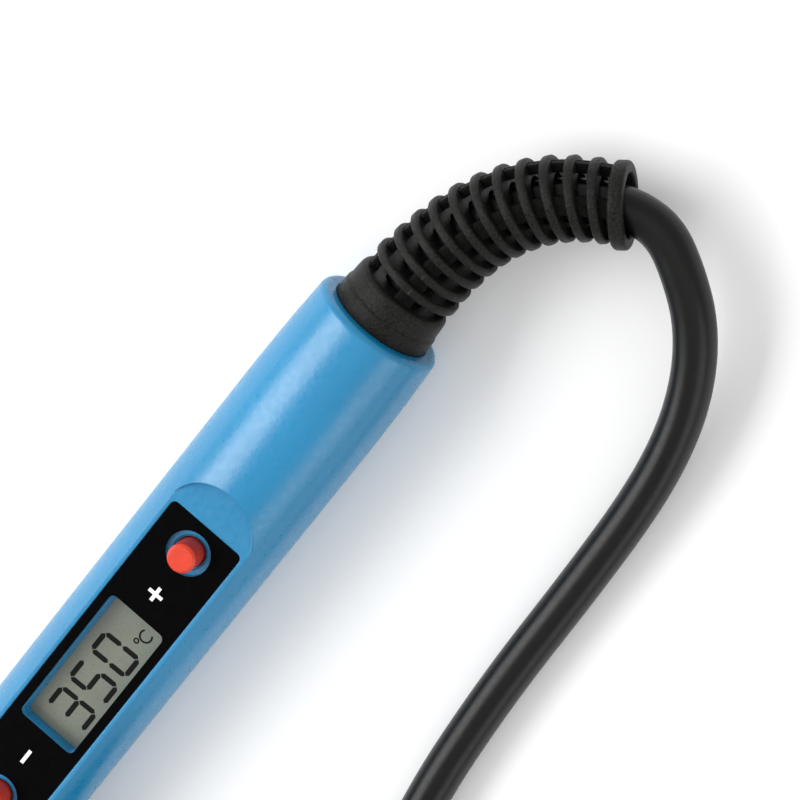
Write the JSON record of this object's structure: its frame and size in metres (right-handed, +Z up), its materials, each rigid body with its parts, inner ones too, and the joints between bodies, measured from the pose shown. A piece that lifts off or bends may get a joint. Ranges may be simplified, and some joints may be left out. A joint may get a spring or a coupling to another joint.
{
  "type": "soldering iron",
  "caption": "Electric soldering iron with a round blue handle, sunk display, two push buttons, knurled barrel nut, conical tip, ribbed bend relief and mains cord.",
  "frame": {"origin": "on the surface the iron lies on, under the middle of the iron's box without its bend relief and cord", "axes": "+X along the iron towards the cord, so the tip points to -X; +Z up through the panel; the cord lies on the -Y side"},
  "size_m": [0.3825, 0.0913, 0.033],
  "materials": {
    "handle_plastic": "fine-grained satin moulding",
    "screw_steel": "zinc plated",
    "overlay_film": "gloss black printed film",
    "circuit_board": "green solder mask",
    "switch_plastic": "matte black",
    "button_plastic": "satin red-orange",
    "holder_plastic": "matte black",
    "contact_rubber": "soft striped rubber",
    "display_glass": "grey-green reflective display behind glass",
    "capacitor_case": "yellow box",
    "capacitor_can": "bare can",
    "chip_resin": "black resin",
    "resistor_body": "lacquered",
    "cord_sheath": "satin black sheath",
    "live_cover": "brown cover",
    "neutral_cover": "blue cover",
    "earth_cover": "green and yellow cover",
    "lead_sleeve": "glass fibre sleeve",
    "sensor_cover": "red cover",
    "socket_brass": "turned brass",
    "heater_ceramic": "white alumina",
    "contact_steel": "nickel plated",
    "tube_steel": "brushed stainless",
    "tip_plating": "plated copper, tinned at its point",
    "nut_steel": "knurled and plated",
    "grip_silicone": "matte silicone",
    "relief_rubber": "fine-grained matte",
    "tie_strap": "woven strap",
    "plug_plastic": "moulded PVC",
    "pin_brass": "turned brass"
  },
  "bodies": {
    "handle": {"upper_shell": "handle_plastic", "lower_shell": "handle_plastic", "shell_screws": "screw_steel", "panel_overlay": "overlay_film", "main_board": "circuit_board", "push_switches": "switch_plastic", "display_holder": "holder_plastic", "contact_strips": "contact_rubber", "display_glass": "display_glass", "film_capacitor": "capacitor_case", "electrolytic_capacitor": "capacitor_can", "controller_chip": "chip_resin", "triac": "chip_resin", "dropper_resistors": "resistor_body", "cord_tail": "cord_sheath", "cord_clamp": "holder_plastic", "clamp_screws": "screw_steel", "live_wire": "live_cover", "neutral_wire": "neutral_cover", "earth_wire": "earth_cover", "heater_leads": "lead_sleeve", "sensor_leads": "sensor_cover", "front_socket": "socket_brass", "heater_element": "heater_ceramic", "heater_collar": "heater_ceramic", "earth_contact": "contact_steel", "grip_sleeve": "grip_silicone", "strain_relief": "relief_rubber", "power_cord": "cord_sheath", "cord_hank": "cord_sheath", "hank_tie": "tie_strap", "cord_to_plug": "cord_sheath", "plug_body": "plug_plastic", "plug_pins": "pin_brass", "plug_earth_clips": "contact_steel"},
    "plus_button": {"plus_button_cap": "button_plastic", "plus_plunger": "switch_plastic"},
    "minus_button": {"minus_button_cap": "button_plastic", "minus_plunger": "switch_plastic"},
    "barrel": {"barrel_tube": "tube_steel", "soldering_tip": "tip_plating"},
    "nut": {"barrel_nut": "nut_steel"}
  },
  "joints": [
    {"name": "plus_press", "type": "slide", "parent": "handle", "child": "plus_button", "axis": [0, 0, -1], "range_m": [0, 0.0003], "stiffness_N_per_m": 400, "springref_m": -0.002},
    {"name": "minus_press", "type": "slide", "parent": "handle", "child": "minus_button", "axis": [0, 0, -1], "range_m": [0, 0.0003], "stiffness_N_per_m": 400, "springref_m": -0.002},
    {"name": "barrel_slide", "type": "slide", "parent": "handle", "child": "barrel", "axis": [-1, 0, 0], "range_m": [0, 0.005]},
    {"name": "nut_turn", "type": "hinge", "parent": "barrel", "child": "nut", "pos_m": [-0.05, 0, 0.0108], "axis": [-1, 0, 0], "range_deg": [0, 1800]}
  ],
  "couplings": [
    {"joint": "nut_turn", "follows": "barrel_slide", "rad_per_m": 6283.2}
  ]
}
